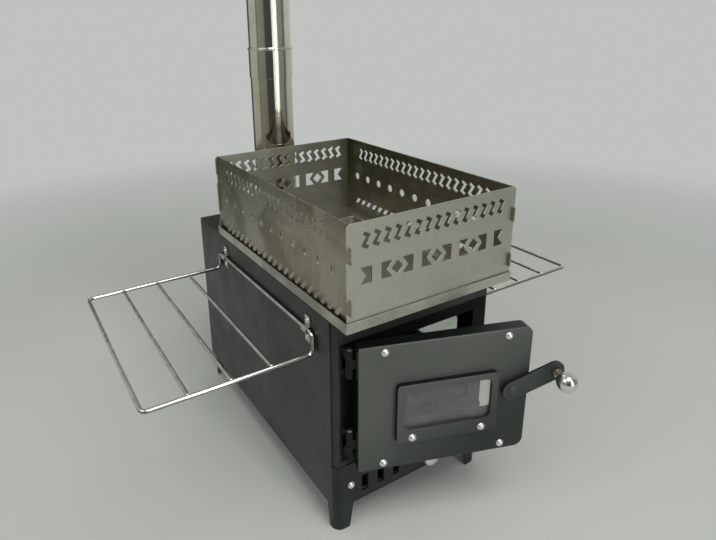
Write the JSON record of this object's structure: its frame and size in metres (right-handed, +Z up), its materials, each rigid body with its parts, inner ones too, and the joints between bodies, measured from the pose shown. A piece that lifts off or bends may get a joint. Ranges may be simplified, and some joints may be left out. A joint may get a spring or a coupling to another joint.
{
  "type": "tent wood stove",
  "caption": "Low box-shaped sheet-steel wood stove for tents, with a glazed swing door, wire side racks, a grill box in a tray on top and a slip-fit chimney.",
  "frame": {"origin": "floor level, at the middle of the whole stove's outline with its door ajar and its racks down", "axes": "+X to the right seen from the door, +Y from the door to the chimney, +Z up"},
  "size_m": [0.5926, 0.506, 0.763],
  "materials": {
    "body_steel": "fine-textured black powder coat with a green cast",
    "door_steel": "satin black-grey heat-resistant coat",
    "inner_steel": "bare black scale, sooty",
    "grate_iron": "rough",
    "tray_steel": "brushed, lightly heat-tinted",
    "box_steel": "brushed, warm heat tint on the long sides",
    "pipe_steel": "polished stainless with a brown heat tint low down",
    "bright_steel": "bright domed rivet heads and zinc-plated straps",
    "wire_chrome": "plated wire",
    "knob_chrome": "mirror-bright ball",
    "stem_brown": "heat-browned thread and nuts",
    "door_glass": "heat-resistant glass, lightly smoked",
    "seal_rope": "flat glass-fibre seal"
  },
  "bodies": {
    "stove": {"left_wall": "body_steel", "right_wall": "body_steel", "rear_wall": "body_steel", "front_frame": "body_steel", "front_skirt": "body_steel", "floor_plate": "inner_steel", "top_plate": "body_steel", "flue_collar": "body_steel", "left_grate_rail": "inner_steel", "right_grate_rail": "inner_steel", "fire_grate": "grate_iron", "foot_front_left": "body_steel", "foot_front_right": "body_steel", "foot_rear_left": "body_steel", "foot_rear_right": "body_steel", "foot_rivets": "bright_steel", "side_window_frame": "body_steel", "side_window_glass": "door_glass", "side_window_rivets": "bright_steel", "upper_hinge_leaf": "body_steel", "lower_hinge_leaf": "body_steel", "hinge_pins": "bright_steel", "latch_keeper": "body_steel", "slider_guides": "inner_steel", "left_rack_straps": "bright_steel", "right_rack_straps": "bright_steel", "strap_rivets": "bright_steel"},
    "door": {"door_pan": "door_steel", "door_liner": "inner_steel", "door_hinge_leaves": "door_steel", "door_rivets": "bright_steel", "window_bezel": "door_steel", "door_glass": "door_glass", "glass_gasket": "seal_rope", "window_rivets": "bright_steel", "latch_spacer": "door_steel", "latch_pivot": "door_steel"},
    "latch": {"latch_arm": "door_steel", "knob_stem": "stem_brown", "ball_knob": "knob_chrome"},
    "vent_slide": {"air_slider": "inner_steel", "slider_knob": "bright_steel"},
    "left_rack": {"left_rack_frame": "wire_chrome", "left_rack_bars": "wire_chrome"},
    "right_rack": {"right_rack_frame": "wire_chrome", "right_rack_bars": "wire_chrome"},
    "tray": {"cooking_tray": "tray_steel"},
    "grill_box": {"grill_front_panel": "box_steel", "grill_rear_panel": "box_steel", "grill_left_panel": "box_steel", "grill_right_panel": "box_steel"},
    "lower_flue": {"lower_pipe": "pipe_steel"},
    "upper_flue": {"upper_pipe": "pipe_steel"}
  },
  "joints": [
    {"name": "door_hinge", "type": "hinge", "parent": "stove", "child": "door", "pos_m": [-0.096, -0.13497, 0.16825], "axis": [0, 0, 1], "range_deg": [-106.2, 18.8]},
    {"name": "latch_turn", "type": "hinge", "parent": "door", "child": "latch", "pos_m": [0.06601, -0.20365, 0.1725], "axis": [-0.3223, -0.9466, 0], "range_deg": [-19.3, 50]},
    {"name": "air_slide", "type": "slide", "parent": "stove", "child": "vent_slide", "axis": [1, 0, 0], "range_m": [-0.01, 0]},
    {"name": "left_rack_fold", "type": "hinge", "parent": "stove", "child": "left_rack", "pos_m": [-0.1127, 0.04103, 0.24], "axis": [0, 1, 0], "range_deg": [0, 90]},
    {"name": "right_rack_fold", "type": "hinge", "parent": "stove", "child": "right_rack", "pos_m": [0.1127, 0.04103, 0.24], "axis": [0, -1, 0], "range_deg": [0, 90]},
    {"name": "tray_lift", "type": "slide", "parent": "stove", "child": "tray", "axis": [0, 0, 1], "range_m": [0, 0.06]},
    {"name": "grill_box_lift", "type": "slide", "parent": "tray", "child": "grill_box", "axis": [0, 0, 1], "range_m": [0, 0.12]},
    {"name": "lower_pipe_lift", "type": "slide", "parent": "stove", "child": "lower_flue", "axis": [0, 0, 1], "range_m": [0, 0.03]},
    {"name": "upper_pipe_lift", "type": "slide", "parent": "lower_flue", "child": "upper_flue", "axis": [0, 0, 1], "range_m": [0, 0.05]}
  ]
}
